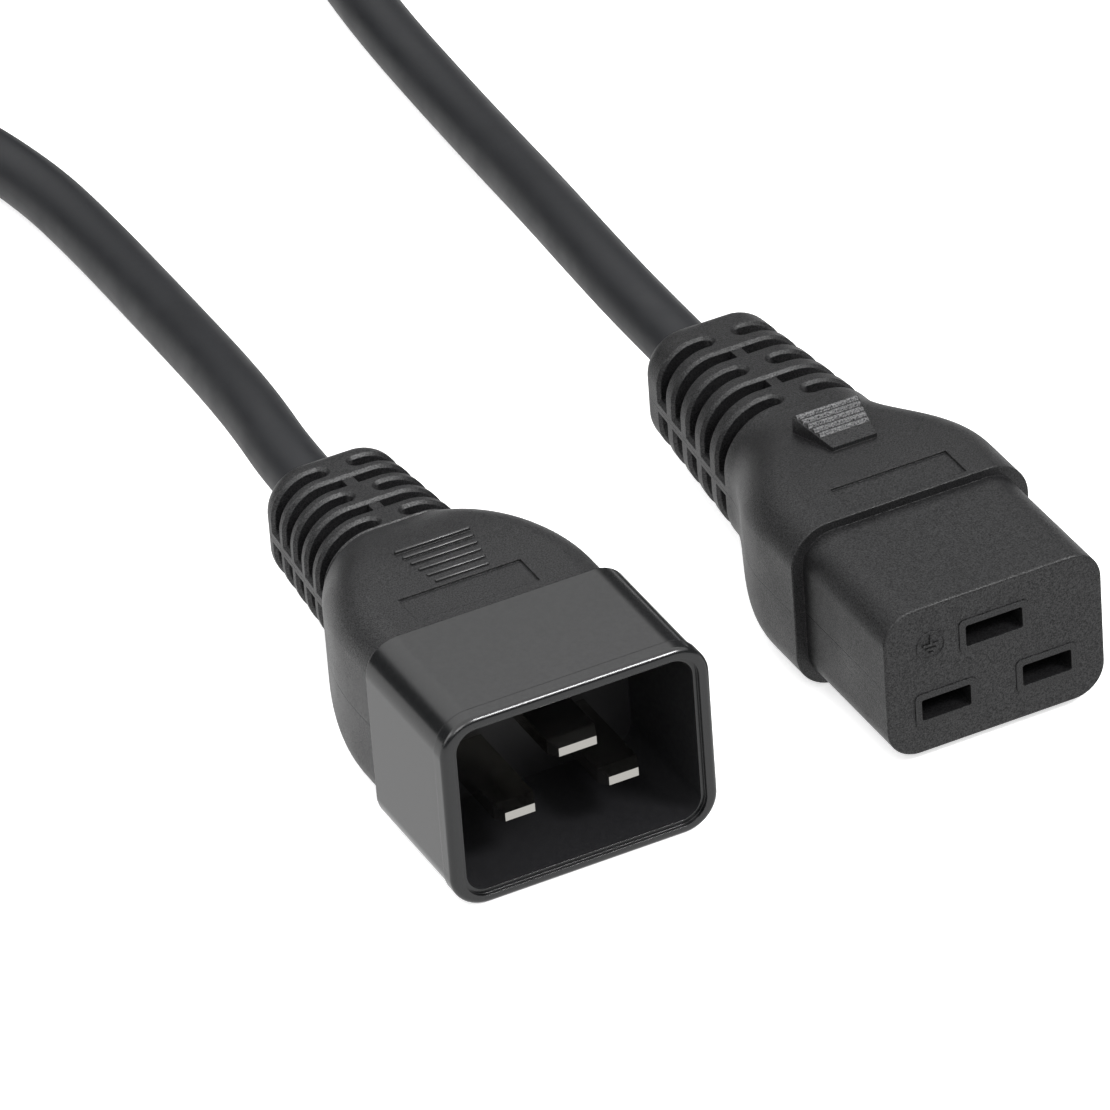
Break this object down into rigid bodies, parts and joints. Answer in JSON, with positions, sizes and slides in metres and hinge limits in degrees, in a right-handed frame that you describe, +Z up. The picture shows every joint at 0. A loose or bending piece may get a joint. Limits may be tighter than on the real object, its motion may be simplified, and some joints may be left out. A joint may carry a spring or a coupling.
{
  "type": "power connector",
  "caption": "Moulded black C19 power connector with three slots in its face, a ribbed thumb pad and a slotted strain relief, on a cord that ends in a shrouded C20 plug",
  "frame": {"origin": "on the surface that the lead lies on, under the middle of the C19 connector", "axes": "X across the connector, its mating face looks to -Y and its cord leaves to +Y, Z up"},
  "size_m": [0.1111, 0.3362, 0.0249],
  "materials": {
    "connector_pvc": "fine-grained moulded PVC, black",
    "carrier_plastic": "moulded polyamide, black",
    "shroud_plastic": "smooth moulded plastic, black",
    "inner_mould": "inner mould, dark grey",
    "plated_brass": "nickel plated",
    "cord_jacket": "smooth flexible PVC, black",
    "line_insulation": "flexible PVC, brown",
    "neutral_insulation": "flexible PVC, blue",
    "earth_insulation": "flexible PVC, green and yellow",
    "coil_strap": "woven strap, black"
  },
  "bodies": {
    "root": {"connector_overmould": "connector_pvc", "contact_carrier": "carrier_plastic", "connector_inner_mould": "inner_mould", "line_contact": "plated_brass", "neutral_contact": "plated_brass", "earth_contact": "plated_brass", "connector_line_core": "line_insulation", "connector_neutral_core": "neutral_insulation", "connector_earth_core": "earth_insulation", "connector_cord_end": "cord_jacket", "plug_overmould": "connector_pvc", "plug_shroud": "shroud_plastic", "plug_inner_mould": "inner_mould", "line_pin": "plated_brass", "neutral_pin": "plated_brass", "earth_pin": "plated_brass", "plug_line_core": "line_insulation", "plug_neutral_core": "neutral_insulation", "plug_earth_core": "earth_insulation", "plug_cord_end": "cord_jacket", "cord_lead": "cord_jacket", "cord_coil": "cord_jacket", "cord_tail": "cord_jacket", "coil_tie_near": "coil_strap", "coil_tie_far": "coil_strap"}
  },
  "joints": []
}
